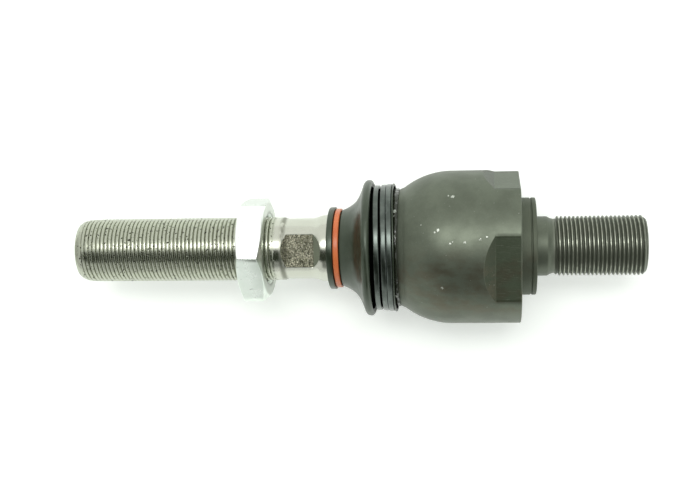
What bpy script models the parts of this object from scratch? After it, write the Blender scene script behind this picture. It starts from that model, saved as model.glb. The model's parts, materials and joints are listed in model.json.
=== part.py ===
"""Axial ball joint of a heavy steering tie rod, with its boot, clamps and jam nut.

Lengths in this script are millimetres and become metres in the meshes. X runs along the
joint from the long ball pin (-X) to the housing's stud (+X), and Z is up. Outlines are
(x, radius) points counted from the centre of the ball. Each object has its origin there,
on the three joint axes, and the scene's origin is the middle of the part's length.
"""

from math import cos, pi, radians, sin, sqrt, tan

import bmesh
import bpy

MM = 0.001
SIDES = 36  # facets round a turned piece, with corners on the Y and Z axes
GAP = 0.3  # running clearance between neighbouring solids

# Overall layout, from the centre of the ball
PIN_END_X = -142.25
STUD_END_X = 70.25
BALL_X = -(PIN_END_X + STUD_END_X) / 2

# Ball pin, with its M24 x 1.5 thread
BALL_RADIUS = 17.5
BALL_BACK_FLAT = 4.5
NECK_RADIUS = 8.0
CONE_START_X = -31.0
COLLAR_X = -45.0
COLLAR_RADIUS = 12.6
SHANK_RADIUS = 11.45
SHANK_END_X = -61.4
PIN_THREAD_RADIUS = 12.0
PIN_THREAD_END_X = -65.6
PIN_FLAT_HALF = 9.5
PIN_FLAT_START_X = -61.1
PIN_FLAT_END_X = -51.2
PIN_FLAT_TURN = 5.8  # degrees from +Z towards -Y

# Jam nut on the pin
NUT_LEFT_X = -78.95
NUT_THICKNESS = 10.0
NUT_ACROSS_FLATS = 36.0
NUT_CORNER_TURN = 10.7
NUT_TOP_RADIUS = 17.2
NUT_CHAMFER = radians(22)

# Housing, with its M22 x 1.5 stud
HOUSING_RADIUS = 28.4
HOUSING_FACE_X = 25.0
HOUSING_FLAT_HALF = 25.5
HOUSING_FLAT_START_X = 15.85
HOUSING_FLAT_RAMP = radians(33.7)
HOUSING_FLAT_TURN = 18.5
MOUTH_X = -27.0
MOUTH_RADIUS = 18.0
MOUTH_LIP_RADIUS = 20.8
BOOT_SEAT_RADIUS = 20.1
DOME_START_X = -19.6
FLANGE_RADIUS = 18.0
FLANGE_FACE_X = 30.7
PILOT_RADIUS = 11.0
PILOT_END_X = 35.8
UNDERCUT_X = 37.1
UNDERCUT_RADIUS = 10.15
STUD_THREAD_X = 38.3
STUD_RADIUS = 11.0
CENTRE_HOLE_RADIUS = 2.2  # the 60 degree centre drillings in both turned ends
CENTRE_HOLE_DEPTH = CENTRE_HOLE_RADIUS * tan(radians(60))

# Bearing inside the housing
SEAT_BORE = BALL_RADIUS + GAP
SEAT_RADIUS = 22.0
CAVITY_RADIUS = SEAT_RADIUS + GAP
SEAT_LIP_ANGLE = 132.0  # polar angle, from +X, where the front seat's lip ends
MOUTH_ANGLE = 138.0  # polar angle where the rolled-over mouth cuts the cavity's sphere
SEAT_FLOOR_X = 16.7
SPRING_POCKET_RADIUS = 14.6
SPRING_POCKET_X = 22.0

# Boot and its two rings
BOOT_LEFT_X = -45.6
BOOT_RIGHT_X = -20.8
BOOT_COLLAR_RADIUS = 15.4
BOOT_COLLAR_BORE = COLLAR_RADIUS + GAP
BOOT_BEAD_RADIUS = 25.5
BOOT_BEAD_X = -30.9
SMALL_RING_X = -42.15
SMALL_RING_WIDTH = 2.1
SMALL_RING_BORE = 14.0
SMALL_RING_RADIUS = 14.9
CLAMP_LEFT_X = -28.3
CLAMP_PITCH = 2.4
CLAMP_WIRE_WIDTH = 2.0
CLAMP_BORE = 22.25
CLAMP_RADII = (23.4, 23.6, 23.8)  # the boot under the ring tapers, so each turn is larger


def material(name, colour, metallic, roughness):
    """A Principled material of one colour."""
    made = bpy.data.materials.new(name)
    made.use_nodes = True
    shader = made.node_tree.nodes["Principled BSDF"]
    shader.inputs["Base Color"].default_value = (*colour, 1.0)
    shader.inputs["Metallic"].default_value = metallic
    shader.inputs["Roughness"].default_value = roughness
    made.diffuse_color = (*colour, 1.0)
    return made


def arc(radius, start, stop, steps):
    """Points of a circle about the ball's centre, by polar angle in degrees from +X."""
    angles = [radians(start + (stop - start) * i / steps) for i in range(steps + 1)]
    return [(radius * cos(a), radius * sin(a)) for a in angles]


def add_object(name, mesh, finish, turn=0.0):
    """An object at the ball's centre, turned about X by some degrees."""
    made = bpy.data.objects.new(name, mesh)
    bpy.context.scene.collection.objects.link(made)
    made.parent = ball_centre
    made.rotation_euler.x = radians(turn)
    if finish:
        mesh.materials.append(finish)
        mesh.shade_smooth()
        mesh.set_sharp_from_angle(angle=radians(35))
    return made


def turned(name, outline, finish=None, sides=SIDES, turn=0.0):
    """A solid of revolution about X. An outline that ends on the axis at both ends is open."""
    mesh = bpy.data.meshes.new(name)
    build = bmesh.new()
    corners = [build.verts.new((x * MM, 0.0, radius * MM)) for x, radius in outline]
    pairs = list(zip(corners, corners[1:]))
    if outline[0][1] > 0:
        pairs.append((corners[-1], corners[0]))
    edges = [build.edges.new(pair) for pair in pairs]
    bmesh.ops.spin(
        build, geom=corners + edges, cent=(0, 0, 0), axis=(1, 0, 0), angle=2 * pi,
        steps=sides, use_merge=True,
    )
    bmesh.ops.remove_doubles(build, verts=build.verts, dist=0.001 * MM)
    bmesh.ops.recalc_face_normals(build, faces=build.faces)
    build.to_mesh(mesh)
    build.free()
    return add_object(name, mesh, finish, turn)


def prism(name, outline, half_width, turn=0.0):
    """An (x, z) outline drawn out along Y to both sides."""
    mesh = bpy.data.meshes.new(name)
    build = bmesh.new()
    corners = [build.verts.new((x * MM, -half_width * MM, z * MM)) for x, z in outline]
    face = build.faces.new(corners)
    grown = bmesh.ops.extrude_face_region(build, geom=[face])
    moved = [item for item in grown["geom"] if isinstance(item, bmesh.types.BMVert)]
    bmesh.ops.translate(build, verts=moved, vec=(0, 2 * half_width * MM, 0))
    bmesh.ops.recalc_face_normals(build, faces=build.faces)
    build.to_mesh(mesh)
    build.free()
    return add_object(name, mesh, None, turn)


def combine(obj, cutter, operation):
    """Cuts obj by a cutter that isn't itself part of the object."""
    cutter.hide_render = True
    cutter.display_type = "WIRE"
    modifier = obj.modifiers.new(cutter.name, "BOOLEAN")
    modifier.operation = operation
    modifier.solver = "EXACT"
    modifier.object = cutter


def make_housing(finish):
    """The rolled-over socket, its four wrench flats, flange, pilot and threaded stud."""
    outline = [
        (STUD_END_X - CENTRE_HOLE_DEPTH, 0.0),
        (STUD_END_X, CENTRE_HOLE_RADIUS),
        (STUD_END_X, STUD_RADIUS - 1.4),
        (STUD_END_X - 1.4, STUD_RADIUS),
        (STUD_THREAD_X, STUD_RADIUS),
        (UNDERCUT_X, UNDERCUT_RADIUS),
        (PILOT_END_X, UNDERCUT_RADIUS + 0.1),
        (PILOT_END_X - 0.9, PILOT_RADIUS),
        (FLANGE_FACE_X, PILOT_RADIUS),
        (FLANGE_FACE_X, FLANGE_RADIUS - 0.5),
        (FLANGE_FACE_X - 0.5, FLANGE_RADIUS),
        (HOUSING_FACE_X, FLANGE_RADIUS),
        (HOUSING_FACE_X, HOUSING_RADIUS - 0.5),
        (HOUSING_FACE_X - 0.5, HOUSING_RADIUS),
    ]
    outline += arc(HOUSING_RADIUS, 90.0, 127.0, 6)
    outline += [
        (DOME_START_X, MOUTH_LIP_RADIUS + 0.4),
        (BOOT_RIGHT_X + 0.1, MOUTH_LIP_RADIUS + 0.1),
        (BOOT_RIGHT_X - 0.3, BOOT_SEAT_RADIUS),
        (MOUTH_X + 1.8, BOOT_SEAT_RADIUS),
        (MOUTH_X + 1.4, MOUTH_LIP_RADIUS),
        (MOUTH_X + 0.4, MOUTH_LIP_RADIUS),
        (MOUTH_X, MOUTH_LIP_RADIUS - 0.4),
        (MOUTH_X, MOUTH_RADIUS),
    ]
    outline += arc(CAVITY_RADIUS, MOUTH_ANGLE, 90.0, 6)
    outline += [
        (SEAT_FLOOR_X + GAP, CAVITY_RADIUS),
        (SEAT_FLOOR_X + GAP, SPRING_POCKET_RADIUS),
        (SPRING_POCKET_X, SPRING_POCKET_RADIUS),
        (SPRING_POCKET_X, 0.0),
    ]
    housing = turned("housing", outline, finish)
    corner = HOUSING_FLAT_HALF * sqrt(2)
    far = 2 * HOUSING_RADIUS
    ramp = (far - HOUSING_FLAT_HALF) / tan(HOUSING_FLAT_RAMP)
    envelope = [
        (STUD_END_X + far, 0.0),
        (STUD_END_X + far, corner),
        (HOUSING_FLAT_START_X, corner),
        (HOUSING_FLAT_START_X - ramp, far * sqrt(2)),
        (-2 * far, far * sqrt(2)),
        (-2 * far, 0.0),
    ]
    square = turned("housing_flats", envelope, sides=4, turn=45 + HOUSING_FLAT_TURN)
    combine(housing, square, "INTERSECT")


def make_ball_pin(finish):
    """Ball, waisted neck, shank with two wrench flats, and the long threaded end."""
    back = 180.0 / pi * (BALL_BACK_FLAT / BALL_RADIUS)
    neck = sqrt(BALL_RADIUS**2 - NECK_RADIUS**2)
    outline = [(BALL_RADIUS * cos(radians(back)), 0.0)]
    outline += arc(BALL_RADIUS, back, 150.0, 13)
    outline += [
        (-neck, NECK_RADIUS),
        (CONE_START_X, NECK_RADIUS),
        (COLLAR_X, COLLAR_RADIUS),
        (COLLAR_X - 3.6, COLLAR_RADIUS - 0.1),
        (COLLAR_X - 6.5, SHANK_RADIUS),
        (SHANK_END_X, SHANK_RADIUS),
        (SHANK_END_X - 1.4, PIN_THREAD_RADIUS - 0.1),
        (PIN_THREAD_END_X + 0.2, PIN_THREAD_RADIUS - 0.1),
        (PIN_THREAD_END_X, PIN_THREAD_RADIUS),
        (PIN_END_X + 1.9, PIN_THREAD_RADIUS),
        (PIN_END_X, PIN_THREAD_RADIUS - 1.9),
        (PIN_END_X, CENTRE_HOLE_RADIUS),
        (PIN_END_X + CENTRE_HOLE_DEPTH, 0.0),
    ]
    pin = turned("ball_pin", outline, finish)
    outside = 2 * PIN_THREAD_RADIUS
    depth = outside - PIN_FLAT_HALF
    block = [
        (PIN_FLAT_START_X, PIN_FLAT_HALF),
        (PIN_FLAT_END_X, PIN_FLAT_HALF),
        (PIN_FLAT_END_X + 1.1 * depth, outside),
        (PIN_FLAT_START_X - 0.7 * depth, outside),
    ]
    for side, half_turn in (("upper", 0.0), ("lower", 180.0)):
        cutter = prism(f"pin_flat_{side}", block, outside, PIN_FLAT_TURN + half_turn)
        combine(pin, cutter, "DIFFERENCE")


def make_jam_nut(finish):
    """A hexagon nut, chamfered on both faces."""
    right = NUT_LEFT_X + NUT_THICKNESS
    bore = PIN_THREAD_RADIUS + GAP
    corner = NUT_ACROSS_FLATS / 2 / cos(radians(30))
    chamfer = (corner + 1.0 - NUT_TOP_RADIUS) * tan(NUT_CHAMFER)
    outline = [
        (NUT_LEFT_X, bore + 0.8),
        (NUT_LEFT_X, NUT_TOP_RADIUS),
        (NUT_LEFT_X + chamfer, corner + 1.0),
        (right - chamfer, corner + 1.0),
        (right, NUT_TOP_RADIUS),
        (right, bore + 0.8),
        (right - 0.8, bore),
        (NUT_LEFT_X + 0.8, bore),
    ]
    nut = turned("jam_nut", outline, finish)
    ends = [(right + 5, 0.0), (right + 5, corner), (NUT_LEFT_X - 5, corner), (NUT_LEFT_X - 5, 0.0)]
    hexagon = turned("nut_hexagon", ends, sides=6, turn=NUT_CORNER_TURN)
    combine(nut, hexagon, "INTERSECT")


def make_bearing(plastic, spring_steel):
    """Two seat shells round the ball, and the plate and disc spring that press them on it."""
    front = arc(SEAT_RADIUS, 91.0, SEAT_LIP_ANGLE, 6) + arc(SEAT_BORE, SEAT_LIP_ANGLE, 91.0, 6)
    turned("front_ball_seat", front, plastic)
    hole = 10.0
    hole_angle = 180 / pi * (hole / SEAT_BORE) * 1.06
    rear = [(0.2, SEAT_RADIUS)] + arc(SEAT_BORE, 89.0, hole_angle, 7)
    rear += [(SEAT_FLOOR_X, hole), (SEAT_FLOOR_X, SEAT_RADIUS - 0.6), (SEAT_FLOOR_X - 0.6, SEAT_RADIUS)]
    turned("rear_ball_seat", rear, plastic)
    plate_x = SEAT_FLOOR_X + GAP
    plate = [(plate_x, 6.0), (plate_x, 14.3), (plate_x + 1.5, 14.3), (plate_x + 1.5, 6.0)]
    turned("pressure_plate", plate, spring_steel)
    spring_x = plate_x + 1.5 + GAP
    coned = [
        (spring_x, 14.2),
        (spring_x + 1.5, 7.5),
        (SPRING_POCKET_X - GAP, 7.5),
        (SPRING_POCKET_X - GAP - 1.5, 14.2),
    ]
    turned("disc_spring", coned, spring_steel)


def make_boot(rubber):
    """The bulged dust boot: a collar on the pin, one fold, and a base on the housing."""
    groove = SMALL_RING_BORE - GAP
    groove_half = SMALL_RING_WIDTH / 2 + GAP
    seat = CLAMP_BORE - GAP
    outside = [
        (BOOT_LEFT_X, BOOT_COLLAR_RADIUS - 0.5),
        (BOOT_LEFT_X + 0.5, BOOT_COLLAR_RADIUS),
        (SMALL_RING_X - groove_half - 0.1, BOOT_COLLAR_RADIUS),
        (SMALL_RING_X - groove_half, groove),
        (SMALL_RING_X + groove_half, groove),
        (-35.9, 17.6),
        (-33.4, 21.8),
        (-32.4, 24.3),
        (-31.7, 25.2),
        (BOOT_BEAD_X, BOOT_BEAD_RADIUS),
        (-29.9, 25.2),
        (-29.2, 24.4),
        (-28.7, seat),
        (BOOT_RIGHT_X - 0.6, seat),
        (BOOT_RIGHT_X - 0.5, 24.0),
        (BOOT_RIGHT_X, 24.0),
    ]
    inside = [
        (BOOT_RIGHT_X, MOUTH_LIP_RADIUS + 0.6),
        (BOOT_RIGHT_X - 0.8, BOOT_SEAT_RADIUS + GAP),
        (MOUTH_X + 2.0, BOOT_SEAT_RADIUS + GAP),
        (MOUTH_X + 1.7, MOUTH_LIP_RADIUS + GAP),
        (-28.6, MOUTH_LIP_RADIUS + GAP),
        (-29.9, 22.6),
        (BOOT_BEAD_X, 23.3),
        (-31.5, 22.6),
        (-32.4, 19.6),
        (-35.4, 15.0),
        (-40.0, BOOT_COLLAR_BORE),
        (BOOT_LEFT_X, BOOT_COLLAR_BORE),
    ]
    turned("boot", outside + inside, rubber)


def make_boot_rings(black, orange):
    """The flat-wire clamp of three turns on the base, and the small ring on the collar."""
    outline = []
    for index, radius in enumerate(CLAMP_RADII):
        left = CLAMP_LEFT_X + index * CLAMP_PITCH
        right = left + CLAMP_WIRE_WIDTH
        if index:
            outline.append((left, CLAMP_BORE + 0.5))
        outline += [(left, radius), (right, radius)]
        if index < len(CLAMP_RADII) - 1:
            outline.append((right, CLAMP_BORE + 0.5))
    outline += [(right, CLAMP_BORE), (CLAMP_LEFT_X, CLAMP_BORE)]
    turned("boot_clamp_ring", outline, black)
    half = SMALL_RING_WIDTH / 2
    ring = [
        (SMALL_RING_X - half, SMALL_RING_BORE),
        (SMALL_RING_X - half, SMALL_RING_RADIUS - 0.4),
        (SMALL_RING_X - 0.5 * half, SMALL_RING_RADIUS),
        (SMALL_RING_X + 0.5 * half, SMALL_RING_RADIUS),
        (SMALL_RING_X + half, SMALL_RING_RADIUS - 0.4),
        (SMALL_RING_X + half, SMALL_RING_BORE),
    ]
    turned("boot_small_ring", ring, orange)


for leftover in list(bpy.data.objects):
    bpy.data.objects.remove(leftover)

ball_centre = bpy.data.objects.new("ball_centre", None)
bpy.context.scene.collection.objects.link(ball_centre)
ball_centre.location.x = BALL_X * MM

make_housing(material("phosphated_steel", (0.155, 0.18, 0.13), 0.6, 0.45))
make_ball_pin(material("machined_steel", (0.5, 0.52, 0.47), 0.9, 0.3))
make_jam_nut(material("zinc_plate", (0.85, 0.87, 0.86), 0.9, 0.25))
make_bearing(
    material("bearing_plastic", (0.8, 0.78, 0.7), 0.0, 0.4),
    material("spring_steel", (0.3, 0.3, 0.3), 0.9, 0.35),
)
make_boot(material("boot_rubber", (0.03, 0.035, 0.03), 0.0, 0.45))
make_boot_rings(
    material("black_wire", (0.02, 0.022, 0.02), 0.3, 0.2),
    material("orange_plastic", (0.75, 0.17, 0.05), 0.0, 0.4),
)
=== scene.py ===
"""Looks of the axial ball joint: fine meshes, materials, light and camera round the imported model.

Lengths are millimetres, with x counted from the ball's centre along the joint's axis, and
become metres in the meshes. Angles round the axis run from +Z towards -Y.
"""

import json
from math import acos, ceil, cos, degrees, exp, radians, sin, sqrt, tan

import bmesh
import bpy
import numpy as np
from mathutils import Matrix, Vector, noise


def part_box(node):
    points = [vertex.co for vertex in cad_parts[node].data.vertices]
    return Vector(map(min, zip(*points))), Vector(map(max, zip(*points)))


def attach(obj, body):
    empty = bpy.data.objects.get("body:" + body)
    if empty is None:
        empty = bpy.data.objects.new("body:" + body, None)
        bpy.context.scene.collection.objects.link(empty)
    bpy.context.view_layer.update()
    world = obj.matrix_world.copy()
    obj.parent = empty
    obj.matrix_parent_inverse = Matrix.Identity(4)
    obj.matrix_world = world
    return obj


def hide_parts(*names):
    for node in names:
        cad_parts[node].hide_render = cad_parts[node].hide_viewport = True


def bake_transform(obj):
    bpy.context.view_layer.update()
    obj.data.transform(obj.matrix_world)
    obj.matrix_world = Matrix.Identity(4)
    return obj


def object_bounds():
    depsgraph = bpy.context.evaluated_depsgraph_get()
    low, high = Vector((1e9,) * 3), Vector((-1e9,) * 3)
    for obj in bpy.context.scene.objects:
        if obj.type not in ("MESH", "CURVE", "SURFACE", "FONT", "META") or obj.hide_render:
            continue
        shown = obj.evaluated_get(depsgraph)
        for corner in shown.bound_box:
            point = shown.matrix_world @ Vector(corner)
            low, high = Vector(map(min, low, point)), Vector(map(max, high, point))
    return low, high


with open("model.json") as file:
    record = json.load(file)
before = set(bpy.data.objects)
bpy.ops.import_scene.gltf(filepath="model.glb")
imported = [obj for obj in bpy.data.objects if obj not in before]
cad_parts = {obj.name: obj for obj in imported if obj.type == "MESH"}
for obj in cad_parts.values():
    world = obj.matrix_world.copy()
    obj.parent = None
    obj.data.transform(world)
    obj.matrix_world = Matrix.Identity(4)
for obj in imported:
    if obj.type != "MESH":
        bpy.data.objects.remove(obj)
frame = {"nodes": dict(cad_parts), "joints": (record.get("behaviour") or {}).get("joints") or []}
cad_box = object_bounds()

MM = 0.001
MERGE = 0.0008  # points closer than this many millimetres are one point
SHARP = radians(32)  # a steeper edge than this is shaded as an edge
SHARP_ON_WIRE = radians(40)
BALL = Vector(next(j["pos_m"] for j in frame["joints"] if j["name"] == "swing"))


def span(node):
    """A CAD node's left end, right end and greatest radius, in millimetres from the ball."""
    low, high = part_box(node)
    return (low.x - BALL.x) / MM, (high.x - BALL.x) / MM, max(high.y, high.z) / MM


# ---------------------------------------------------------------- shapes

PITCH = 1.5
# Depth of a thread, and one pitch of it as (share of the pitch, share of the depth above the root)
ROLLED = (0.6, (
    (0.0, 0.97), (0.05, 1.0), (0.46, 1.0), (0.51, 0.97), (0.56, 0.84),
    (0.69, 0.12), (0.72, 0.0), (0.78, 0.0), (0.81, 0.12), (0.95, 0.84),
))
CUT = (0.92, (
    (0.0, 0.985), (0.04, 1.0), (0.17, 1.0), (0.21, 0.985), (0.255, 0.86),
    (0.46, 0.09), (0.52, 0.0), (0.64, 0.0), (0.70, 0.09), (0.955, 0.86),
))
TURNED_HEIGHT = 0.6  # height given to the points that lie on the bar and not on its thread
# The centre drilling in the end of each bar, as (depth, radius)
DRILLING = ((3.8, 0.0), (0.3, 2.2), (0.0, 2.6))


def rounded(outline, steps=3):
    """Outline points (x, radius, cut) with each corner curved, starting that cut away from it."""
    points = []
    for i, (x, radius, cut) in enumerate(outline):
        corner = Vector((x, radius))
        if not cut:
            points.append(tuple(corner))
            continue
        before = Vector(outline[i - 1][:2]) - corner
        after = Vector(outline[(i + 1) % len(outline)][:2]) - corner
        start = corner + before.normalized() * cut
        end = corner + after.normalized() * cut
        for step in range(steps + 1):
            t = step / steps
            points.append(tuple(start * (1 - t) ** 2 + corner * 2 * t * (1 - t) + end * t * t))
    return points


def smooth_curve(points, steps):
    """A Catmull-Rom curve through the points."""
    ends = [points[0], *points, points[-1]]
    curve = []
    for a, b, c, d in zip(ends, ends[1:], ends[2:], ends[3:]):
        a, b, c, d = (np.array(p, float) for p in (a, b, c, d))
        for step in range(steps):
            t = step / steps
            point = 2 * b + (c - a) * t + (2 * a - 5 * b + 4 * c - d) * t**2
            curve.append(tuple((point + (3 * b - a - 3 * c + d) * t**3) / 2))
    return [*curve, tuple(points[-1])]


def ball_arc(radius, start, stop, steps):
    """Points of a circle about the ball's centre, by polar angle in degrees from +X."""
    angles = np.radians(np.linspace(start, stop, steps + 1))
    return [(radius * cos(a), radius * sin(a)) for a in angles]


def blend_in(value, low, high):
    """0 below low, 1 above high and smooth between."""
    t = np.clip((value - low) / (high - low), 0.0, 1.0)
    return t * t * (3 - 2 * t)


def into_scene(build, mesh, sharp):
    """Writes an edited mesh back and makes an object of it."""
    bmesh.ops.recalc_face_normals(build, faces=build.faces)
    build.to_mesh(mesh)
    build.free()
    mesh.shade_smooth()
    mesh.set_sharp_from_angle(angle=sharp)
    made = bpy.data.objects.new(mesh.name, mesh)
    bpy.context.scene.collection.objects.link(made)
    return made


def skin(name, angles, columns, attributes=None):
    """One closed mesh from columns of (x, radius) points, one column at each angle in degrees.

    A column that starts and ends on the axis is open, any other is a ring. Points that meet,
    at the axis, at the seam and where a thread is cut off, are merged.
    """
    grid = np.array(columns, float)
    count, rows = grid.shape[:2]
    turn = np.radians(np.array(angles, float))[:, None]
    x, radius = grid[..., 0], grid[..., 1]
    points = np.stack([x, -radius * np.sin(turn), radius * np.cos(turn)], axis=-1)
    points = points.reshape(-1, 3) * MM + np.array([BALL.x, 0, 0])
    is_ring = radius[0, 0] > 0.001
    last = rows if is_ring else rows - 1
    i, j = np.meshgrid(np.arange(count - 1), np.arange(last), indexing="ij")
    k = (j + 1) % rows
    faces = np.stack([i * rows + j, i * rows + k, (i + 1) * rows + k, (i + 1) * rows + j], -1)
    mesh = bpy.data.meshes.new(name)
    mesh.from_pydata(points.tolist(), [], faces.reshape(-1, 4).tolist())
    for key, values in (attributes or {}).items():
        layer = mesh.attributes.new(key, "FLOAT", "POINT")
        layer.data.foreach_set("value", np.asarray(values, np.float32).reshape(-1))
    build = bmesh.new()
    build.from_mesh(mesh)
    bmesh.ops.remove_doubles(build, verts=build.verts, dist=MERGE * MM)
    return into_scene(build, mesh, SHARP)


def turned(name, outline, sides=128):
    """A plain solid of revolution."""
    return skin(name, np.linspace(0, 360, sides + 1), [outline] * (sides + 1))


def flat_angles(first, count, half, inside, outside):
    """Angles round the axis that fall on the side edges of equally spaced flats."""
    period = 360 / count
    steps = []
    for k in range(count):
        centre = first + k * period
        steps += list(np.linspace(centre - half, centre + half, inside + 1))
        steps += list(np.linspace(centre + half, centre + period - half, outside + 1))[1:-1]
    return [*steps, first - half + 360]


def from_flat(angle, first, count):
    """How far an angle is from the middle of the nearest flat."""
    period = 360 / count
    return abs((angle - first + period / 2) % period - period / 2)


def thread_rows(form, turn, start, end, crest, envelope, depth_share):
    """A right-hand thread's (x, radius, height) points at one share of a turn.

    The envelope is what the bar was turned to first, and depth_share makes the run-out.
    """
    depth, profile = form
    rows = []
    for k in range(ceil((end - start) / PITCH) + 2):
        for share, height in profile:
            x = min(max(start + (k - 1 + share + turn) * PITCH, start), end)
            cut = crest - depth * (1 - height) * depth_share(x)
            bar = envelope(x)
            rows.append((x, min(cut, bar), height if cut <= bar else TURNED_HEIGHT))
    return rows


def cross(function, low, high):
    """Where a falling function of x is zero, by halving."""
    for _ in range(30):
        middle = (low + high) / 2
        if function(middle) > 0:
            low = middle
        else:
            high = middle
    return (low + high) / 2


# ---------------------------------------------------------------- ball pin

PIN_LEFT = span("ball_pin")[0]
PIN_CREST = 12.0
PIN_TAPER = 1.45  # how far the rounded end falls below the crest
PIN_TAPER_LENGTH = 1.8
PIN_THREAD_END = -65.7
PIN_TURNED = 11.9  # radius of the bar between the thread and the shank
PIN_STEP = 0.1
PIN_FLAT_TURN = 5.8
PIN_FLAT = 9.6
PIN_FLAT_LEFT = -61.1
PIN_FLAT_RIGHT = -51.2
PIN_FLAT_FALL = 0.85  # slopes of the ramps at the two ends of a flat
PIN_FLAT_RISE = 1.1
SHANK = 11.45
SHANK_LEFT = -66.0
SHANK_RIGHT = -44.0
SHANK_OUTLINE = (
    (SHANK_LEFT, PIN_TURNED), (-63.1, PIN_TURNED), (-62.7, 11.84), (-62.2, 11.6), (-61.9, 11.48),
    (-61.5, SHANK), (-52.2, SHANK), (-50.8, 11.65), (-49.6, 12.1), (-48.6, 12.45), (-47.6, 12.58),
    (SHANK_RIGHT, 12.6),
)
FORGED_RELIEF = 0.075
BALL_RADIUS = span("ball_pin")[2]
NECK = 8.0


def shank_radius(x):
    return float(np.interp(x, *zip(*SHANK_OUTLINE)))


def pin_flat_height(x):
    """Distance of the flat and its end ramps from the axis."""
    left = (PIN_FLAT_LEFT - x) / PIN_FLAT_FALL
    right = (x - PIN_FLAT_RIGHT) / PIN_FLAT_RISE
    return PIN_FLAT + max(left, right, 0.0)


def pin_envelope(x):
    """Radius of the bar under the thread, with its rounded end and the step down after it."""
    end = PIN_CREST - PIN_TAPER * exp((PIN_LEFT - x) / PIN_TAPER_LENGTH)
    step = PIN_TURNED + PIN_STEP * blend_in(-x, -PIN_THREAD_END, -PIN_THREAD_END + 0.4)
    return min(PIN_CREST, end, step)


def pin_depth_share(x):
    """The thread starts behind the rounded end and runs out before the step."""
    start = blend_in(x, PIN_LEFT + 0.5, PIN_LEFT + 1.7)
    run_out = 1 - blend_in(x, PIN_THREAD_END - 2.4, PIN_THREAD_END - 0.3)
    return float(start * run_out)


def forged_grain(x, across, radius):
    """Relief of the scale on a forged flat, from about -1 to 1."""
    coarse = noise.noise(Vector((x / 0.45, across / 0.8, radius / 9)))
    return coarse + 0.6 * noise.noise(Vector((x / 0.22, across / 0.33, 7.0)))


def make_ball_pin():
    """The pin as one body: thread, forged shank with two hammered flats, neck and ball."""
    half = degrees(acos(PIN_FLAT / SHANK))
    angles = flat_angles(PIN_FLAT_TURN, 2, half, 44, 26)
    columns, crests, rough = [], [], []
    drilling = [(PIN_LEFT + depth, radius) for depth, radius in DRILLING] + [(PIN_LEFT, 6.5)]
    neck_x = -sqrt(BALL_RADIUS**2 - NECK**2)
    tail = rounded([
        (SHANK_RIGHT, 12.6, 0), (-42.6, 12.3, 0.8), (-31.0, NECK, 3.0), (neck_x, NECK, 1.2),
        (neck_x + 0.9, NECK + 1.55, 0),
    ])
    tail = tail[1:] + ball_arc(BALL_RADIUS, 143.0, 15.0, 36)
    tail.append((BALL_RADIUS * cos(radians(15)), 0.0))
    for angle in angles:
        turn = (angle - angles[0]) / 360
        thread = thread_rows(
            ROLLED, turn, PIN_LEFT, PIN_THREAD_END, PIN_CREST, pin_envelope, pin_depth_share
        )
        off = from_flat(angle, PIN_FLAT_TURN, 2)
        slope = cos(radians(off))
        left, right = PIN_FLAT_LEFT, PIN_FLAT_RIGHT
        if off < half - 0.01:
            left = cross(lambda x: pin_flat_height(x) / slope - shank_radius(x), SHANK_LEFT, left)
            right = cross(
                lambda x: shank_radius(x) - pin_flat_height(x) / slope, right, SHANK_RIGHT - 0.5
            )
        stations = [
            *np.linspace(PIN_THREAD_END + 0.15, left, 10)[:-1],
            *np.linspace(left, PIN_FLAT_LEFT, 7)[:-1],
            *np.linspace(PIN_FLAT_LEFT, PIN_FLAT_RIGHT, 42)[:-1],
            *np.linspace(PIN_FLAT_RIGHT, right, 12)[:-1],
            *np.linspace(right, SHANK_RIGHT, 12),
        ]
        shank, mask = [], []
        for x in stations:
            radius = shank_radius(x)
            on_flat = off < half and left < x < right
            share = 0.0
            if on_flat:
                radius = pin_flat_height(x) / slope
                share = 1 - float(blend_in(x, PIN_FLAT_RIGHT - 0.5, PIN_FLAT_RIGHT + 0.4))
                edge = min(1.0, (half - off) / 3.0)
                across = radius * sin(radians(angle - PIN_FLAT_TURN))
                radius += FORGED_RELIEF * forged_grain(x, across, radius) * share * edge
            shank.append((x, radius))
            mask.append(share + (0.5 * (1 - share) if on_flat else 0.0))
        columns.append(drilling + [row[:2] for row in thread] + shank + tail)
        plain = len(shank) + len(tail)
        crests.append([1.0] * len(drilling) + [row[2] for row in thread] + [1.0] * plain)
        rough.append([0.0] * (len(drilling) + len(thread)) + mask + [0.0] * len(tail))
    return skin("ball_pin_detailed", angles, columns, {"crest": crests, "forged": rough})


# ---------------------------------------------------------------- jam nut

NUT_CORNER_TURN = 10.7
NUT_HALF = 18.0
NUT_TIP_CUT = 0.09  # what the rolled corners lack of a sharp hexagon
NUT_FACE = 17.2
NUT_COUNTERSINK = 13.5
NUT_BORE = 12.3
NUT_CHAMFER = tan(radians(22))


def make_jam_nut():
    """A hexagon nut whose chamfers cut the six corners in arcs."""
    left, right, _ = span("jam_nut")
    tip = NUT_HALF / cos(radians(30)) - NUT_TIP_CUT
    half = degrees(acos(NUT_HALF / tip))
    first = NUT_CORNER_TURN + 30
    angles = flat_angles(first, 6, half, 16, 2)
    columns = []
    for angle in angles:
        off = from_flat(angle, first, 6)
        radius = min(NUT_HALF / cos(radians(off)), tip)
        drop = (radius - NUT_FACE) * NUT_CHAMFER
        columns.append(rounded([
            (left + 1.1, NUT_BORE, 0.2), (left, NUT_COUNTERSINK, 0.25), (left, NUT_FACE, 0.3),
            (left + drop, radius, 0.22), (right - drop, radius, 0.22),
            (right, NUT_FACE, 0.3), (right, NUT_COUNTERSINK, 0.25), (right - 1.1, NUT_BORE, 0.2),
        ]))
    return skin("jam_nut_detailed", angles, columns)


# ---------------------------------------------------------------- housing

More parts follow.
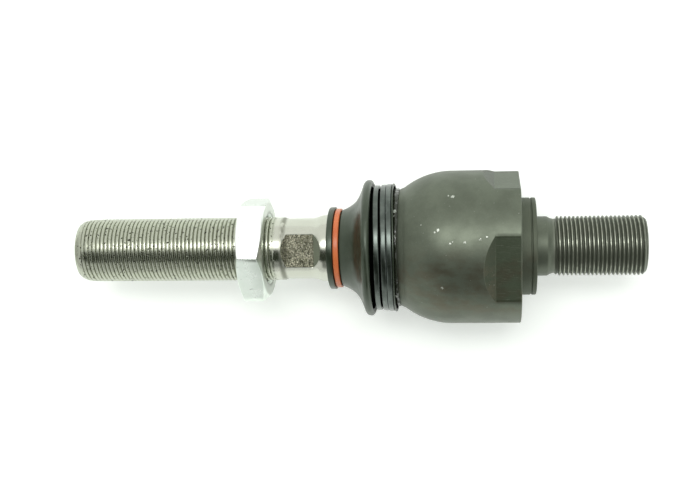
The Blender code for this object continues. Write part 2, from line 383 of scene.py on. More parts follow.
HOUSING_RADIUS = span("housing")[2]
HOUSING_FLAT = 25.5
HOUSING_FLAT_TURN = 18.5
HOUSING_FLAT_LEFT = 15.85
HOUSING_RAMP = tan(radians(33.7))
RAMP_MARK = 0.6  # value of the milled attribute on a ramp, where a flat has 1
HOUSING_FACE = 25.0
SEAT_BORE = 22.3
FLANGE = 18.0
PILOT = 11.0
STUD_END = span("housing")[1]
STUD_CREST = 11.0
STUD_THREAD_START = 37.3
STUD_CHAMFER = 0.95  # slope at both ends of the thread
BOOT_END = span("boot")[1]
MOUTH = span("housing")[0]


def stud_envelope(x):
    """Radius of the stud's bar, chamfered at both ends."""
    end = 9.75 + (STUD_END - x) * STUD_CHAMFER
    return min(STUD_CREST, end, 10.0 + (x - STUD_THREAD_START) * STUD_CHAMFER)


def make_housing():
    """The socket with its rolled mouth, four milled flats, flange, pilot and threaded stud."""
    half = degrees(acos(HOUSING_FLAT / HOUSING_RADIUS))
    angles = flat_angles(HOUSING_FLAT_TURN, 4, half, 26, 14)
    inside = [
        (22.0, 0.0), (22.0, 14.0), (21.4, 14.6), (17.4, 14.6), (17.0, 15.0), (17.0, 22.0),
        (16.7, SEAT_BORE),
    ]
    inside += ball_arc(SEAT_BORE, 90.0, 138.0, 14)
    mouth = rounded([
        (-16.6, 14.9, 0), (MOUTH, 18.0, 0.3), (MOUTH, 20.8, 0.4), (MOUTH + 1.4, 20.8, 0.3),
        (MOUTH + 1.9, 20.1, 0.3), (BOOT_END - 0.4, 20.1, 0.3), (BOOT_END + 0.1, 20.9, 0.2),
        (-19.9, 21.1, 0.3), (-18.9, 21.9, 0.5), (-17.2, 22.6, 0),
    ])[1:-1]
    dome = ball_arc(HOUSING_RADIUS, 127.2, 90.0, 26)
    shoulder = rounded([
        (HOUSING_FACE, HOUSING_RADIUS, 0), (HOUSING_FACE, FLANGE, 0.15), (28.45, FLANGE, 0.1),
        (28.65, 17.65, 0.08), (28.95, 17.65, 0.08), (29.15, FLANGE, 0.1), (30.7, FLANGE, 0.55),
        (30.7, PILOT, 0.3), (34.8, PILOT, 0.3), (35.8, 10.35, 0.4), (36.9, 10.05, 0.4),
        (STUD_THREAD_START, 10.0, 0),
    ])[1:]
    drilling = [(STUD_END, 6.0)] + [(STUD_END - depth, radius) for depth, radius in DRILLING[::-1]]
    columns, crests, milled = [], [], []
    for angle in angles:
        turn = (angle - angles[0]) / 360
        off = from_flat(angle, HOUSING_FLAT_TURN, 4)
        slope = cos(radians(off))
        outer = HOUSING_RADIUS
        start = HOUSING_FLAT_LEFT
        if off < half:
            outer = HOUSING_FLAT / slope
            start = HOUSING_FLAT_LEFT - (HOUSING_RADIUS * slope - HOUSING_FLAT) / HOUSING_RAMP
        body = [(x, HOUSING_RADIUS) for x in np.linspace(0, start, 12)[1:]]
        ramp = []
        for x in np.linspace(start, HOUSING_FLAT_LEFT, 9)[1:]:
            rise = max(0.0, HOUSING_FLAT_LEFT - x) * HOUSING_RAMP
            ramp.append((x, min(HOUSING_RADIUS, (HOUSING_FLAT + rise) / slope)))
        flat = [(x, outer) for x in np.linspace(HOUSING_FLAT_LEFT, HOUSING_FACE - 0.55, 10)[1:]]
        corner = rounded([
            (20.0, outer, 0), (HOUSING_FACE, outer, 0.5), (HOUSING_FACE, 22.0, 0),
        ])[1:]
        thread = thread_rows(
            CUT, turn, STUD_THREAD_START, STUD_END, STUD_CREST, stud_envelope, lambda x: 1.0
        )
        turned_rows = [row[:2] for row in thread]
        parts = (inside, mouth, dome, body, ramp, flat, corner, shoulder, turned_rows, drilling)
        columns.append([point for part in parts for point in part])
        before = len(columns[-1]) - len(thread) - len(drilling)
        heights = [row[2] for row in thread]
        crests.append([TURNED_HEIGHT] * before + heights + [TURNED_HEIGHT] * len(drilling))
        cut = 1.0 if off < half - 0.01 else 0.0
        plain = len(inside) + len(mouth) + len(dome) + len(body)
        rest = len(columns[-1]) - plain - len(ramp) - len(flat)
        milled.append([0.0] * plain + [RAMP_MARK * cut] * (len(ramp) - 1)
                      + [cut] * (len(flat) + 1) + [0.0] * rest)
    return skin("housing_detailed", angles, columns, {"crest": crests, "milled": milled})


# ---------------------------------------------------------------- boot and rings

BOOT_LEFT = span("boot")[0]
CLAMP_LEFT, CLAMP_RIGHT, _ = span("boot_clamp_ring")
RING_LEFT, RING_RIGHT, RING_RADIUS = span("boot_small_ring")
RING_BORE = 14.0
BOOT_GROOVE = 13.75
BOOT_SIDES = 192
BEAD_SHIFT = 0.4  # how far the bead sits to the right, and its share of the clamp's skew
BEAD_SKEW = 0.4
WIRE_WIDTH = 2.0
WIRE_BORE = 22.25
WIRE_HEIGHTS = (1.15, 1.35, 1.55)
WIRE_START = 235.0
WIRE_END = 125.0 + 3 * 360.0
WIRE_STEPS = 300
WIRE_STEP_HALF = 55  # degrees on each side of the underside in which the wire changes lanes
GREASE_BOTTOM = 20.6


def askew(angle):
    """How far along x the clamp sits from square, in mm at an angle in degrees."""
    turn = radians(angle)
    return 0.28 + 0.3 * sin(turn) + 0.42 * cos(2 * turn)


def make_boot():
    """The moulded boot from its collar over the flare to the bead, which overhangs the clamp.

    Its own skew is kept small enough to clear the clamp.
    """
    collar = rounded([
        (BOOT_LEFT, 12.9, 0.2), (BOOT_LEFT, 15.4, 0.5), (RING_LEFT - 0.2, 15.5, 0.25),
        (RING_LEFT - 0.15, BOOT_GROOVE, 0.2), (RING_RIGHT + 0.15, BOOT_GROOVE, 0.2),
        (RING_RIGHT + 0.3, 14.1, 0),
    ])
    flare = smooth_curve([
        (-40.6, 14.4), (-38.1, 15.6), (-36.0, 17.3), (-34.5, 19.5), (-33.5, 21.7), (-32.8, 23.5),
    ], 6)
    bead = rounded([
        (-32.5, 24.3, 0), (-31.9, 25.5, 1.1), (-29.8, 25.5, 0.9), (-29.35, 24.1, 0.35),
        (-29.9, 23.6, 0.2), (-29.9, 21.6, 0.1), (-30.8, 21.6, 0.1),
    ])
    lining = smooth_curve([
        (-30.8, 22.4), (-31.1, 22.9), (-31.5, 22.6), (-32.4, 19.6), (-35.4, 15.0), (-40.0, 12.9),
    ], 4)
    outline = collar + flare + bead + lining
    shares = [float(blend_in(x, -40.0, -33.0)) for x, _ in outline]
    angles = np.linspace(0, 360, BOOT_SIDES + 1)
    columns = []
    for angle in angles:
        shift = BEAD_SHIFT + BEAD_SKEW * askew(angle)
        columns.append([
            (x + share * shift, radius) for (x, radius), share in zip(outline, shares)
        ])
    return skin("boot_detailed", angles, columns)


def make_boot_base():
    """The boot's base under the clamp, which stays on the housing whichever way the boot turns.

    Its thin left edge runs in below the bead, so that no slit opens between the two.
    """
    outline = rounded([
        (-30.9, 20.95, 0.1), (-30.9, 21.2, 0.1), (-28.9, 21.25, 0.1), (-28.7, 21.95, 0.1),
        (CLAMP_RIGHT + 0.12, 21.95, 0.1), (CLAMP_RIGHT + 0.2, 24.0, 0.18), (BOOT_END, 24.0, 0.2),
        (BOOT_END, 21.4, 0.2), (BOOT_END - 0.8, 20.4, 0.1), (-25.0, 20.4, 0.1),
        (-25.4, 20.95, 0.1),
    ])
    angles = np.linspace(0, 360, BOOT_SIDES + 1)
    columns = [[(x + askew(angle), radius) for x, radius in outline] for angle in angles]
    return skin("boot_base_detailed", angles, columns)


def make_small_ring():
    return turned("boot_small_ring_detailed", rounded([
        (RING_LEFT, RING_BORE, 0.15), (RING_LEFT, RING_RADIUS, 0.55),
        (RING_RIGHT, RING_RADIUS, 0.55), (RING_RIGHT, RING_BORE, 0.15),
    ], 6))


def make_clamp_ring():
    """Flat wire wound in three turns, which step sideways on the underside of the joint."""
    half = WIRE_WIDTH / 2
    lanes = (CLAMP_LEFT + 0.1 + half, CLAMP_RIGHT - 3 * half - 0.03, CLAMP_RIGHT - half)
    build = bmesh.new()
    rings = []
    for step in range(WIRE_STEPS + 1):
        angle = WIRE_START + (WIRE_END - WIRE_START) * step / WIRE_STEPS
        lane, height = lanes[0], WIRE_HEIGHTS[0]
        for k in (1, 2):
            under = 180 + 360 * k
            share = float(blend_in(angle, under - WIRE_STEP_HALF, under + WIRE_STEP_HALF))
            lane += (lanes[k] - lanes[k - 1]) * share
            height += (WIRE_HEIGHTS[k] - WIRE_HEIGHTS[k - 1]) * share
        lane += askew(angle)
        section = rounded([
            (lane - half, WIRE_BORE, 0.3), (lane - half, WIRE_BORE + height, 0.42),
            (lane + half, WIRE_BORE + height, 0.42), (lane + half, WIRE_BORE, 0.3),
        ], 4)
        turn = radians(angle)
        rings.append([
            build.verts.new((x * MM + BALL.x, -r * sin(turn) * MM, r * cos(turn) * MM))
            for x, r in section
        ])
    for one, two in zip(rings, rings[1:]):
        for k in range(len(one)):
            n = (k + 1) % len(one)
            build.faces.new((one[k], one[n], two[n], two[k]))
    build.faces.new(rings[0])
    build.faces.new(rings[-1][::-1])
    return into_scene(build, bpy.data.meshes.new("boot_clamp_ring_detailed"), SHARP_ON_WIRE)


def make_groove_grease():
    """Grease that has squeezed out between the boot's base and the housing."""
    columns = []
    angles = np.linspace(0, 360, 361)
    for angle in angles:
        turn = radians(angle)
        around = Vector((cos(turn), sin(turn), 0))
        lump = noise.noise(around * 3.2)
        lump += 1.1 * noise.noise(around * 7 + Vector((0, 0, 2)))
        lump += 0.2 * noise.noise(around * 19 + Vector((0, 0, 5)))
        left = BOOT_END + askew(angle) - 0.1
        right = -18.9 + 0.35 * noise.noise(around * 6 + Vector((0, 0, 9)))
        height = 22.0 + 0.45 * lump
        columns.append(rounded([
            (left, GREASE_BOTTOM, 0.1), (left, height - 0.2, 0.3),
            ((left + right) / 2, height, 0.3), (right - 0.2, min(height - 0.1, 22.1), 0.2),
            (right, 21.3, 0.1), (right - 0.6, GREASE_BOTTOM, 0.1),
        ], 4))
    return skin("groove_grease", angles, columns)


# ---------------------------------------------------------------- materials


class Look:
    """A material's nodes, added one call at a time. Texture sizes are millimetres."""

    def __init__(self, name, **fixed):
        self.material = bpy.data.materials.new(name)
        self.material.use_nodes = True
        self.tree = self.material.node_tree
        self.shader = self.tree.nodes["Principled BSDF"]
        for socket, value in fixed.items():
            self.shader.inputs[socket.replace("_", " ")].default_value = value
        place = self.node("ShaderNodeTexCoord").outputs["Object"]
        self.place = self.vector("SCALE", place, scale=1 / MM)
        parts = self.node("ShaderNodeSeparateXYZ", Vector=self.place)
        self.x, self.y, self.z = parts.outputs
        squares = self.times(self.y, self.y), self.times(self.z, self.z)
        self.radius = self.math("SQRT", self.math("ADD", *squares))

    def node(self, kind, settings=None, **inputs):
        made = self.tree.nodes.new(kind)
        for key, value in (settings or {}).items():
            setattr(made, key, value)
        for key, value in inputs.items():
            self.feed(made.inputs[key.replace("_", " ")], value)
        return made

    def feed(self, socket, value):
        if isinstance(value, bpy.types.NodeSocket):
            self.tree.links.new(value, socket)
        else:
            socket.default_value = value

    def math(self, operation, a, b=0.0):
        made = self.tree.nodes.new("ShaderNodeMath")
        made.operation = operation
        self.feed(made.inputs[0], a)
        self.feed(made.inputs[1], b)
        return made.outputs[0]

    def times(self, first, second):
        return self.math("MULTIPLY", first, second)

    def most(self, first, second):
        return self.math("MAXIMUM", first, second)

    def along(self):
        """Millimetres along the axis from the ball's centre."""
        return self.math("SUBTRACT", self.x, BALL.x / MM)

    def vector(self, operation, a, b=(0, 0, 0), scale=1.0):
        made = self.tree.nodes.new("ShaderNodeVectorMath")
        made.operation = operation
        self.feed(made.inputs[0], a)
        self.feed(made.inputs[1], b)
        self.feed(made.inputs[3], scale)
        return made.outputs["Value" if operation in ("DISTANCE", "LENGTH") else "Vector"]

    def noise(self, size, detail=2.0, roughness=0.5, stretch=(1, 1, 1), place=None, offset=0.0):
        """Noise whose features are about this size, longer where stretch is greater."""
        at = self.vector("MULTIPLY", place or self.place, tuple(1 / (size * s) for s in stretch))
        if offset:
            at = self.vector("ADD", at, (offset, offset * 0.7, -offset))
        settings = {"Scale": 1.0, "Detail": detail, "Roughness": roughness}
        return self.node("ShaderNodeTexNoise", Vector=at, **settings).outputs["Fac"]

    def step(self, value, low, high, out_low=0.0, out_high=1.0):
        made = self.node("ShaderNodeMapRange", {"interpolation_type": "SMOOTHSTEP"}, Value=value)
        limits = {"From Min": low, "From Max": high, "To Min": out_low, "To Max": out_high}
        for key, number in limits.items():
            made.inputs[key].default_value = number
        return made.outputs[0]

    def mix(self, share, a, b, strength=1.0):
        """A colour between a and b, nearer b where the share is greater."""
        made = self.tree.nodes.new("ShaderNodeMix")
        made.data_type = "RGBA"
        self.feed(made.inputs[0], share if strength == 1.0 else self.times(share, strength))
        for socket, value in ((made.inputs[6], a), (made.inputs[7], b)):
            self.feed(socket, (*value, 1.0) if isinstance(value, tuple) else value)
        return made.outputs[2]

    def blend(self, share, a, b):
        """A number between a and b."""
        made = self.tree.nodes.new("ShaderNodeMix")
        self.feed(made.inputs[0], share)
        self.feed(made.inputs[2], a)
        self.feed(made.inputs[3], b)
        return made.outputs[0]

    def attribute(self, name):
        return self.node("ShaderNodeAttribute", {"attribute_name": name}).outputs["Fac"]

    def bump(self, height, depth, normal=None):
        """Height from 0 to 1 as relief this deep in millimetres."""
        made = self.node("ShaderNodeBump", Height=height, Distance=depth * MM, Strength=1.0)
        if normal:
            self.feed(made.inputs["Normal"], normal)
        return made.outputs["Normal"]

    def turned_place(self):
        """Coordinates that change only along the axis and with the radius."""
        return self.node("ShaderNodeCombineXYZ", X=self.x, Y=self.radius).outputs[0]

    def spots(self, places, ball, size, ragged):
        """1 inside ragged spots, each given by (x, angle, size factor).

        The spots lie on a cylinder that ends to the left in a ball of the same radius.
        """
        wobble = self.times(self.noise(ragged, 3.0), size * 1.6)
        total = None
        for x, angle, factor in places:
            radius = sqrt(ball**2 - min(x, 0) ** 2)
            at = (BALL.x / MM + x, -radius * sin(radians(angle)), radius * cos(radians(angle)))
            away = self.vector("DISTANCE", self.place, at)
            edge = size * factor
            near = self.step(self.math("ADD", away, wobble), edge * 1.3, edge)
            total = near if total is None else self.most(total, near)
        return total

    def finish(self, colour=None, roughness=None, metallic=None, normal=None):
        inputs = {
            "Base Color": colour, "Roughness": roughness, "Metallic": metallic, "Normal": normal,
        }
        for key, value in inputs.items():
            if value is not None:
                self.feed(self.shader.inputs[key], value)
        return self.material


# Bright chips on the housing and painted glints in the grease, as (x, angle, size factor)
CHIPS = (
    (1.0, -38.5, 1.2), (-0.6, -39.5, 0.9), (-4.2, -12, 1.1), (-5.4, -10.5, 0.9), (0.0, -2, 1.0),
    (1.0, -3.5, 0.8), (5.2, -3, 1.0), (10.5, -5, 0.95), (12.7, -6.5, 0.95), (-3.0, 31, 1.0),
    (-10.2, -17, 0.85),
)
GREASE_GLINTS = (
    (-20.2, -36, 1.3), (-20.4, -31, 1.0), (-20.0, -10, 1.05), (-20.3, -5, 0.9), (-20.2, 54, 1.2),
    (-20.2, 140, 1.2), (-20.2, 215, 1.1),
)
GREASE_GLINT_BALL = 29.9  # puts the painted glints just outside the grease


def housing_material():
    """Olive-grey phosphated steel with bright chips, milled flats, worn thread crests and painted
    shade in the thread roots.
    """
    look = Look("phosphated_steel_look")
    cloud = look.step(look.noise(9.0, 5.0, 0.6), 0.34, 0.68)
    grain = look.noise(0.35, 3.0, 0.6)
    colour = look.mix(cloud, (0.106, 0.122, 0.091), (0.13, 0.149, 0.112))
    colour = look.mix(look.step(grain, 0.55, 0.75, 0.0, 0.35), colour, (0.19, 0.21, 0.175))
    along = look.along()
    on_stud = look.step(along, 36.4, 37.0)
    on_flange = look.times(look.step(along, 24.8, 25.1), look.step(along, 30.9, 30.5))
    colour = look.mix(on_flange, colour, (0.075, 0.088, 0.06), 0.5)
    colour = look.mix(on_stud, colour, (0.16, 0.175, 0.138))
    milled = look.attribute("milled")
    on_flat = look.step(milled, 0.0, 0.4)
    on_ramp = look.times(on_flat, look.step(milled, 1.0, 0.75))
    colour = look.mix(on_flat, colour, (0.076, 0.098, 0.06), 0.75)
    colour = look.mix(on_ramp, colour, (0.04, 0.047, 0.03), 0.6)
    stain = look.step(look.noise(5.0, 4.0, 0.6, (1.7, 1, 1), offset=8.0), 0.38, 0.68)
    lower_side = look.times(look.step(look.y, 2.0, -9.0), look.step(look.z, 12.0, 19.0))
    stain = look.times(stain, lower_side)
    colour = look.mix(stain, colour, (0.105, 0.09, 0.06), 0.6)
    chips = look.spots(CHIPS, HOUSING_RADIUS, 1.0, 0.45)
    rare = look.step(look.noise(0.9, offset=31.0), 0.75, 0.775)
    flecks = look.times(on_ramp, look.step(look.noise(0.7, 3.0, 0.7, offset=17.0), 0.66, 0.7))
    chips = look.most(chips, look.times(look.most(rare, flecks), 0.35))
    scores = look.noise(0.22, 2.0, 0.5, (14, 1, 1), offset=9.0)
    scores = look.times(look.step(scores, 0.62, 0.68), look.math("SUBTRACT", on_flat, on_ramp))
    colour = look.mix(scores, colour, (0.2, 0.22, 0.17), 0.5)
    crest = look.attribute("crest")
    wear = look.step(look.noise(1.6, 3.0), 0.3, 0.6, 0.35, 1.0)
    worn = look.times(look.step(crest, 0.93, 1.0), wear)
    root_shade = look.step(crest, 0.4, 0.05)
    colour = look.mix(worn, colour, (0.36, 0.38, 0.31))
    # painted shade: the roots of the stud's thread are made darker
    colour = look.mix(root_shade, colour, (0.045, 0.05, 0.036), 0.5)
    colour = look.mix(chips, colour, (0.55, 0.58, 0.52))
    shine = look.blend(cloud, 0.46, 0.42)
    shine = look.blend(worn, shine, 0.3)
    shine = look.blend(on_flat, shine, 0.42)
    shine = look.blend(on_flange, shine, 0.58)
    shine = look.blend(stain, shine, 0.36)
    rings = look.noise(0.25, place=look.turned_place())
    normal = look.bump(grain, 0.02)
    normal = look.bump(rings, 0.008, normal)
    dents = look.noise(6.0, 3.0)
    normal = look.bump(dents, 0.07, normal)
    streaks = look.times(look.noise(0.3, 3.0, 0.6, (9, 1, 1)), on_flat)
    normal = look.bump(streaks, 0.07, normal)
    normal = look.bump(chips, 0.05, normal)
    bare = look.most(chips, worn)
    return look.finish(colour, shine, look.blend(bare, 0.72, 1.0), normal)


def pin_material():
    """Bright machined steel, with small pits in the thread and a dark forged skin in the flats;
    painted shade in the thread's grooves and at the step before the shank.
    """
    look = Look("machined_steel_look")
    rings = look.noise(0.12, place=look.turned_place())
    cloud = look.noise(9.0, 3.0)
    colour = look.mix(cloud, (0.5, 0.51, 0.44), (0.6, 0.61, 0.54))
    crest = look.attribute("crest")
    flank_shade = look.step(crest, 0.98, 0.5)
    root_shade = look.step(crest, 0.45, 0.05)
    along = look.along()
    in_thread = look.step(along, PIN_THREAD_END + 0.5, PIN_THREAD_END - 0.5)
    colour = look.mix(in_thread, colour, (0.47, 0.49, 0.405))
    # painted shade: the thread's flanks, and more its roots, are made darker
    colour = look.mix(flank_shade, colour, (0.36, 0.38, 0.3), 0.2)
    colour = look.mix(root_shade, colour, (0.15, 0.16, 0.115), 0.4)
    # painted shade: a darker, broken band round the step from the thread down to the shank
    step_shade = look.times(look.step(along, -64.2, -62.7), look.step(along, -61.1, -62.3))
    step_shade_breakup = look.noise(2.2, 3.0, 0.6, (1, 1.6, 1.6), offset=6.0)
    step_shade = look.times(step_shade, look.step(step_shade_breakup, 0.32, 0.52))
    colour = look.mix(step_shade, colour, (0.2, 0.205, 0.165), 0.8)
    pits = look.step(look.noise(0.9, 1.0, offset=12.0), 0.66, 0.68)
    pits = look.times(look.times(pits, in_thread), look.step(look.radius, 9.8, 10.6))
    colour = look.mix(pits, colour, (0.03, 0.03, 0.02), 0.95)
    forged = look.attribute("forged")
    skin_on = look.step(forged, 0.15, 0.6)
    speckle = look.noise(0.4, 3.0, 0.75, (1, 2, 2))
    bright = look.step(look.noise(0.3, 3.0, 0.8, (0.9, 1.5, 1), offset=21.0), 0.53, 0.59)
    patch = look.step(look.noise(3.0, offset=2.0), 0.35, 0.6, 0.45, 1.0)
    scale = look.mix(look.step(speckle, 0.38, 0.62), (0.012, 0.014, 0.007), (0.155, 0.155, 0.1))
    scale = look.mix(look.times(bright, patch), scale, (0.98, 0.95, 0.74))
    scale = look.mix(look.step(forged, 0.55, 0.5), scale, (0.23, 0.26, 0.19))
    colour = look.mix(skin_on, colour, scale)
    shine = look.blend(in_thread, 0.2, 0.24)
    shine = look.blend(step_shade, shine, 0.42)
    shine = look.blend(skin_on, shine, 0.5)
    shine = look.blend(look.times(pits, 0.7), shine, 0.7)
    normal = look.bump(rings, 0.012)
    normal = look.bump(look.math("SUBTRACT", 1.0, pits), 0.08, normal)
    normal = look.bump(look.times(speckle, look.step(forged, 0.55, 0.8)), 0.12, normal)
    return look.finish(colour, shine, look.blend(skin_on, 1.0, 0.65), normal)


def nut_material():
    """Bright zinc plate with a faint cloud and a few knocks, and painted highlight and shade on its
    faces.
    """
    look = Look("zinc_plate_look", Metallic=1.0)
    cloud = look.step(look.noise(6.0, 3.0), 0.35, 0.7)
    colour = look.mix(cloud, (0.79, 0.86, 0.79), (0.85, 0.91, 0.85))
    left, right, _ = span("jam_nut")
    half = (right - left) / 2
    away = look.math("ABSOLUTE", look.math("SUBTRACT", look.along(), (left + right) / 2))
    end_face_shade = look.step(away, half - 0.2, half - 0.05)
    # painted shade: the flat that faces +Y, on the far side, is made greyer
    colour = look.mix(look.step(look.y, 15.7, 16.1), colour, (0.64, 0.68, 0.64))
    # painted highlight: the flat that faces up, towards the camera and lamp, is made near white
    middle = look.times(look.step(look.y, -3.7, -3.4), look.step(look.y, 15.9, 15.6))
    colour = look.mix(look.times(middle, look.step(look.z, 0.0, 1.0)), colour, (0.95, 0.97, 0.95))
    # painted shade: the two end faces are made darker, standing in for the shadowed floor they
    # reflect
    colour = look.mix(end_face_shade, colour, (0.58, 0.62, 0.56))
    # painted reflection and shade: the end faces are darker round the bore, where they reflect the
    # pin's dark band
    bore_shade = look.times(end_face_shade, look.step(look.radius, 15.0, 13.2))
    colour = look.mix(bore_shade, colour, (0.28, 0.3, 0.26))
    knocks = look.step(look.noise(0.8, 2.0, 0.5, (2.5, 1, 1), offset=3.0), 0.7, 0.74)
    colour = look.mix(knocks, colour, (0.35, 0.37, 0.34), 0.6)
    shine = look.blend(cloud, 0.34, 0.26)
    normal = look.bump(look.noise(0.5, 3.0), 0.012)
    normal = look.bump(look.math("SUBTRACT", 1.0, knocks), 0.03, normal)
    return look.finish(colour, shine, None, normal)


def rubber_material():
    """Black moulded rubber with a grey bloom and faint mould marks, and painted shade in the fold
    under the bead.
    """
    look = Look("boot_rubber_look", Metallic=0.0, Specular_Tint=(0.87, 1.0, 0.84, 1))
    bloom = look.step(look.noise(7.0, 4.0, 0.6), 0.35, 0.75)
    colour = look.mix(bloom, (0.011, 0.016, 0.008), (0.022, 0.03, 0.018))
    scuffs = look.step(look.noise(0.7, 3.0, 0.6, (1, 2.5, 2.5), offset=5.0), 0.66, 0.76)
    colour = look.mix(scuffs, colour, (0.2, 0.21, 0.19), 0.4)
    shine = look.blend(bloom, 0.3, 0.42)
    normal = look.bump(look.noise(0.4, 4.0, 0.6), 0.02)
    normal = look.bump(look.noise(1.2, place=look.turned_place()), 0.04, normal)
    normal = look.bump(look.noise(11.0), 0.35, normal)
    # painted shade: the deep fold under the bead is made near black and given no specular
    # reflection
    deep = look.times(look.step(look.along(), -31.2, -29.9), look.step(look.radius, 24.2, 22.9))
    colour = look.mix(deep, colour, (0.002, 0.002, 0.002))
    look.feed(look.shader.inputs["Specular IOR Level"], look.blend(deep, 0.85, 0.0))
    return look.finish(colour, shine, None, normal)


def wire_material():
    """Black oxide spring wire, drawn smooth, with a film of oil and painted glints."""
    look = Look("black_wire_look", Metallic=1.0, Coat_Weight=0.25, Coat_Roughness=0.1)
    cloud = look.noise(4.0, 3.0)
    colour = look.mix(look.step(cloud, 0.35, 0.7), (0.075, 0.09, 0.08), (0.125, 0.145, 0.132))
    # painted glints: small light spots in the colour stand in for highlights on the oily wire
    wire_glints = look.step(look.noise(0.6, 3.0, 0.6, (1, 2.5, 2.5), offset=2.0), 0.64, 0.72)
    colour = look.mix(wire_glints, colour, (0.3, 0.32, 0.31), 0.5)
    shine = look.blend(cloud, 0.24, 0.36)
    normal = look.bump(look.noise(0.3, 2.0, 0.5, (1, 8, 8)), 0.01)
    return look.finish(colour, shine, None, normal)


def ring_material():
    """Orange moulded plastic."""
    look = Look("orange_plastic_look", Metallic=0.0, Subsurface_Weight=0.08)
    look.shader.inputs["Subsurface Scale"].default_value = 0.4 * MM
    cloud = look.noise(5.0, 3.0)
    colour = look.mix(look.step(cloud, 0.3, 0.7), (0.58, 0.132, 0.037), (0.67, 0.177, 0.058))
    normal = look.bump(look.noise(0.5, 3.0), 0.02)
    return look.finish(colour, look.blend(cloud, 0.24, 0.38), None, normal)


def grease_material():
    """Dark grease, with painted glints: light spots that stand in for highlights."""
    look = Look("grease_look", Metallic=0.0)
    cloud = look.noise(1.0, 3.0)
    colour = look.mix(cloud, (0.008, 0.011, 0.006), (0.032, 0.038, 0.024))
    # painted glints: light spots in the colour stand in for highlights on the grease
    grease_glints = look.spots(GREASE_GLINTS, GREASE_GLINT_BALL, 1.0, 0.6)
    colour = look.mix(grease_glints, colour, (0.42, 0.46, 0.4), 0.85)
    normal = look.bump(look.noise(2.4), 0.3)
    return look.finish(colour, look.blend(cloud, 0.08, 0.22), None, normal)


def seat_material():
    """Natural acetal with a little grease on it."""
    look = Look("bearing_plastic_look", Metallic=0.0)
    cloud = look.noise(4.0, 3.0)
    colour = look.mix(look.step(cloud, 0.35, 0.65), (0.74, 0.7, 0.6), (0.84, 0.82, 0.74))
    normal = look.bump(look.noise(0.3, place=look.turned_place()), 0.02)
    return look.finish(colour, look.blend(cloud, 0.3, 0.5), None, normal)


def spring_material():
    """Oiled spring steel with turning marks."""
    look = Look("spring_steel_look", Metallic=1.0)
    cloud = look.noise(3.0, 3.0)
    colour = look.mix(cloud, (0.2, 0.2, 0.19), (0.42, 0.41, 0.38))
    normal = look.bump(look.noise(0.2, place=look.turned_place()), 0.015)
    return look.finish(colour, look.blend(cloud, 0.25, 0.42), None, normal)


def floor_material():
    look = Look("paper_look", Metallic=0.0)
    look.shader.inputs["Emission Color"].default_value = (0.97, 1.0, 0.97, 1)
    look.shader.inputs["Emission Strength"].default_value = 0.36
    colour = look.mix(look.noise(60.0), (0.84, 0.87, 0.84), (0.86, 0.88, 0.86))
    return look.finish(colour, 0.75)


# ---------------------------------------------------------------- assembly


def dress(piece, material, slot, *nodes):
    """Gives a piece its material, and hides the CAD nodes that it stands for. The slot is not used.
    """
    piece.data.materials.clear()
    piece.data.materials.append(material)
    if nodes:
        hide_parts(*nodes)
    return piece


pin = dress(make_ball_pin(), pin_material(), "machined_steel", "ball_pin")
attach(pin, "pin")
nut = dress(make_jam_nut(), nut_material(), "zinc_plate", "jam_nut")
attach(nut, "nut")
housing = dress(make_housing(), housing_material(), "phosphated_steel", "housing")
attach(housing, "housing")
clamp_ring = dress(make_clamp_ring(), wire_material(), "black_wire", "boot_clamp_ring")
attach(clamp_ring, "housing")
small_ring = dress(make_small_ring(), ring_material(), "orange_plastic", "boot_small_ring")
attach(small_ring, "neck")
grease = dress(make_groove_grease(), grease_material(), "boot_rubber")
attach(grease, "housing")
rubber = rubber_material()
boot_base = dress(make_boot_base(), rubber, "boot_rubber")
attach(boot_base, "housing")
boot = dress(make_boot(), rubber, "boot_rubber", "boot")
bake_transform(boot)

for node, material in (
    ("front_ball_seat", seat_material()),
    ("rear_ball_seat", seat_material()),
    ("pressure_plate", spring_material()),
    ("disc_spring", spring_material()),
):
    held = frame["nodes"][node]
    held.data.materials.clear()
    held.data.materials.append(material)

# ---------------------------------------------------------------- floor, light and camera

floor_z = cad_box[0].z
bpy.ops.mesh.primitive_plane_add(size=6.0, location=(0, 0, floor_z))
floor = bpy.context.object
floor.name = "floor"
floor.data.materials.append(floor_material())


TENT = (0.85, 0.87, 0.85)
# Brighter and darker parts of the tent, each as (zenith, azimuth, near, far) and its colour
TENT_LOBES = (
    ((70, 180, 20, 80), (1.08, 1.1, 1.06)),  # the far wall
    ((15, 180, 6, 21), (2.3, 2.3, 2.25)),  # the lamp, as the metal reflects it
    ((82, -92, 12, 42), (0.6, 0.62, 0.58)),  # the open side past the pin's end
    ((41, 7, 12, 23), (0.035, 0.048, 0.026)),  # the photographer's head
    ((62, 7, 12, 23), (0.035, 0.048, 0.026)),  # and chest
    ((30, -33.9, 21.3, 23.2), (0.025, 0.034, 0.018)),  # and arm
)
LENS = 56.8
CAMERA_LEAN = radians(6.747)
CAMERA_ROLL = radians(-0.57)
CAMERA_FOOT = (BALL.x + 10.58 * MM, -0.0008, 0)  # the point straight below the camera
CAMERA_HEIGHT = 0.4139


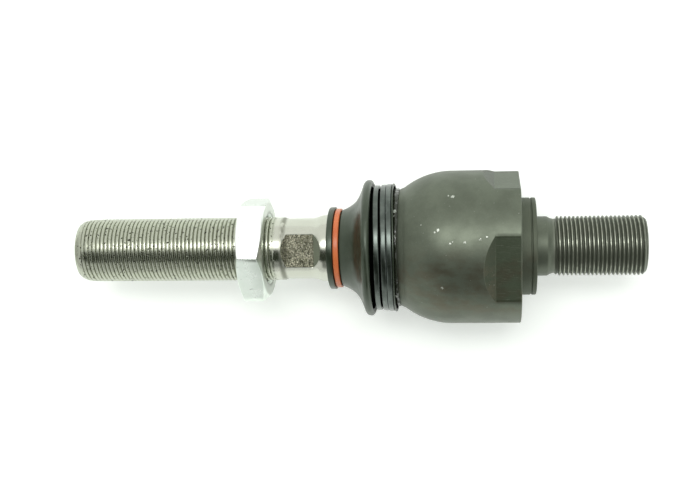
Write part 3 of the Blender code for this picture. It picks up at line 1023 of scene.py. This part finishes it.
def make_world():
    """A white tent round the part, dimmer towards the photographer who leans over it."""
    world = bpy.data.worlds.new("tent")
    bpy.context.scene.world = world
    world.use_nodes = True
    tree = world.node_tree
    background = tree.nodes["Background"]
    way = tree.nodes.new("ShaderNodeTexCoord").outputs["Generated"]

    def lobe(zenith, azimuth, near, far):
        """1 within near degrees of a direction, 0 beyond far. Azimuth is from -Y towards +X."""
        lean, round_z = radians(zenith), radians(azimuth)
        centre = (sin(lean) * sin(round_z), -sin(lean) * cos(round_z), cos(lean))
        dot = tree.nodes.new("ShaderNodeVectorMath")
        dot.operation = "DOT_PRODUCT"
        tree.links.new(way, dot.inputs[0])
        dot.inputs[1].default_value = centre
        edge = tree.nodes.new("ShaderNodeMapRange")
        edge.interpolation_type = "SMOOTHSTEP"
        tree.links.new(dot.outputs["Value"], edge.inputs["Value"])
        edge.inputs["From Min"].default_value = cos(radians(far))
        edge.inputs["From Max"].default_value = cos(radians(near))
        return edge.outputs[0]

    colour = None
    for place, shade in TENT_LOBES:
        mix = tree.nodes.new("ShaderNodeMix")
        mix.data_type = "RGBA"
        tree.links.new(lobe(*place), mix.inputs[0])
        if colour is None:
            mix.inputs[6].default_value = (*TENT, 1)
        else:
            tree.links.new(colour, mix.inputs[6])
        mix.inputs[7].default_value = (*shade, 1)
        colour = mix.outputs[2]
    tree.links.new(colour, background.inputs["Color"])


def add_softbox(name, location, size, power):
    light = bpy.data.lights.new(name, "AREA")
    light.shape = "RECTANGLE"
    light.size, light.size_y = size
    light.energy = power
    lamp = bpy.data.objects.new(name, light)
    bpy.context.scene.collection.objects.link(lamp)
    lamp.location = location
    lamp.rotation_euler = (-Vector(location)).to_track_quat("-Z", "Y").to_euler()


make_world()
add_softbox("far_softbox", location=(0.0, 0.27, 1.07), size=(0.7, 0.26), power=3.0)


def make_camera():
    """The camera nearly straight above the joint, leaning a little to the stud's side."""
    data = bpy.data.cameras.new("camera")
    data.sensor_width = 36.0
    data.lens = LENS
    camera = bpy.data.objects.new("camera", data)
    bpy.context.scene.collection.objects.link(camera)
    back = Vector((sin(CAMERA_LEAN), 0, cos(CAMERA_LEAN)))
    right = Vector((cos(CAMERA_LEAN), 0, -sin(CAMERA_LEAN)))
    up = back.cross(right)
    roll = Matrix.Rotation(CAMERA_ROLL, 3, back)
    rotation = Matrix((roll @ right, roll @ up, back)).transposed()
    place = Vector(CAMERA_FOOT) + Vector((0, 0, CAMERA_HEIGHT))
    camera.matrix_world = Matrix.Translation(place) @ rotation.to_4x4()
    bpy.context.scene.camera = camera


make_camera()
bpy.context.scene.view_settings.view_transform = "Standard"
